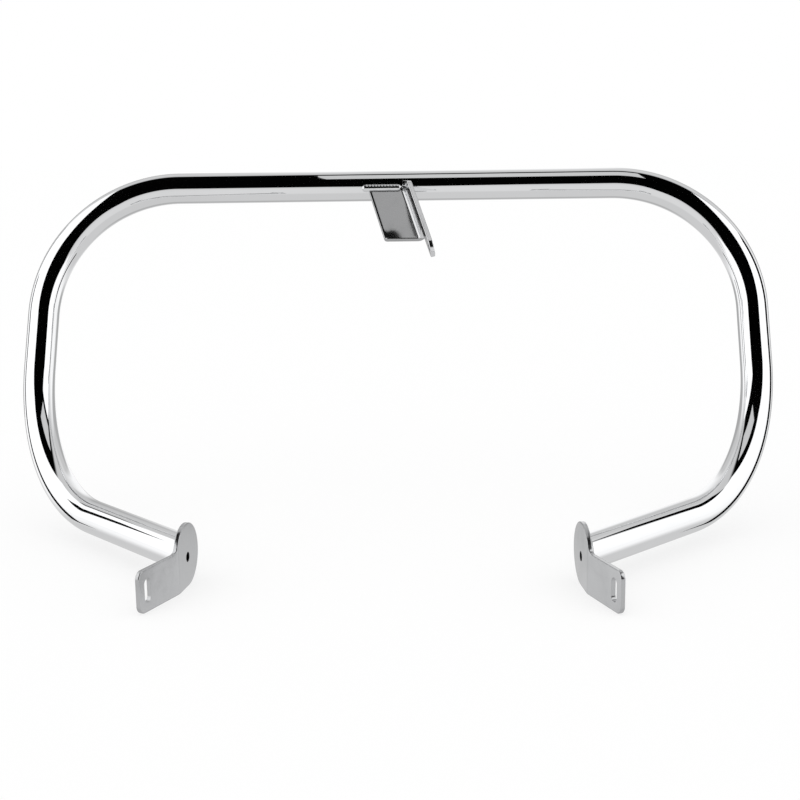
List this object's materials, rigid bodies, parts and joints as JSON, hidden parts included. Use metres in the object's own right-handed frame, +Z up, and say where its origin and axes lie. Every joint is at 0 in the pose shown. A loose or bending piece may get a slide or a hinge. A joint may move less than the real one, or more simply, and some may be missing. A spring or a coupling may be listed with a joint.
{
  "type": "motorcycle engine guard",
  "caption": "Chromed bent-tube engine guard for a motorcycle, a raked loop with swept-in legs, welded slotted lower plates and a folded upper bracket.",
  "frame": {"origin": "under the middle of the guard, at the level of the lower edges of the lower plates", "axes": "+X towards the rider's right, +Y forwards on the motorcycle, +Z up"},
  "size_m": [0.766, 0.4219, 0.3426],
  "materials": {
    "tube_chrome": "polished chrome plate",
    "bracket_chrome": "chrome plate",
    "weld_chrome": "plated weld bead"
  },
  "bodies": {
    "root": {"guard_tube": "tube_chrome", "upper_bracket": "bracket_chrome", "upper_weld": "weld_chrome", "lower_plate_left": "bracket_chrome", "lower_plate_right": "bracket_chrome", "lower_weld_left": "weld_chrome", "lower_weld_right": "weld_chrome"}
  },
  "joints": []
}
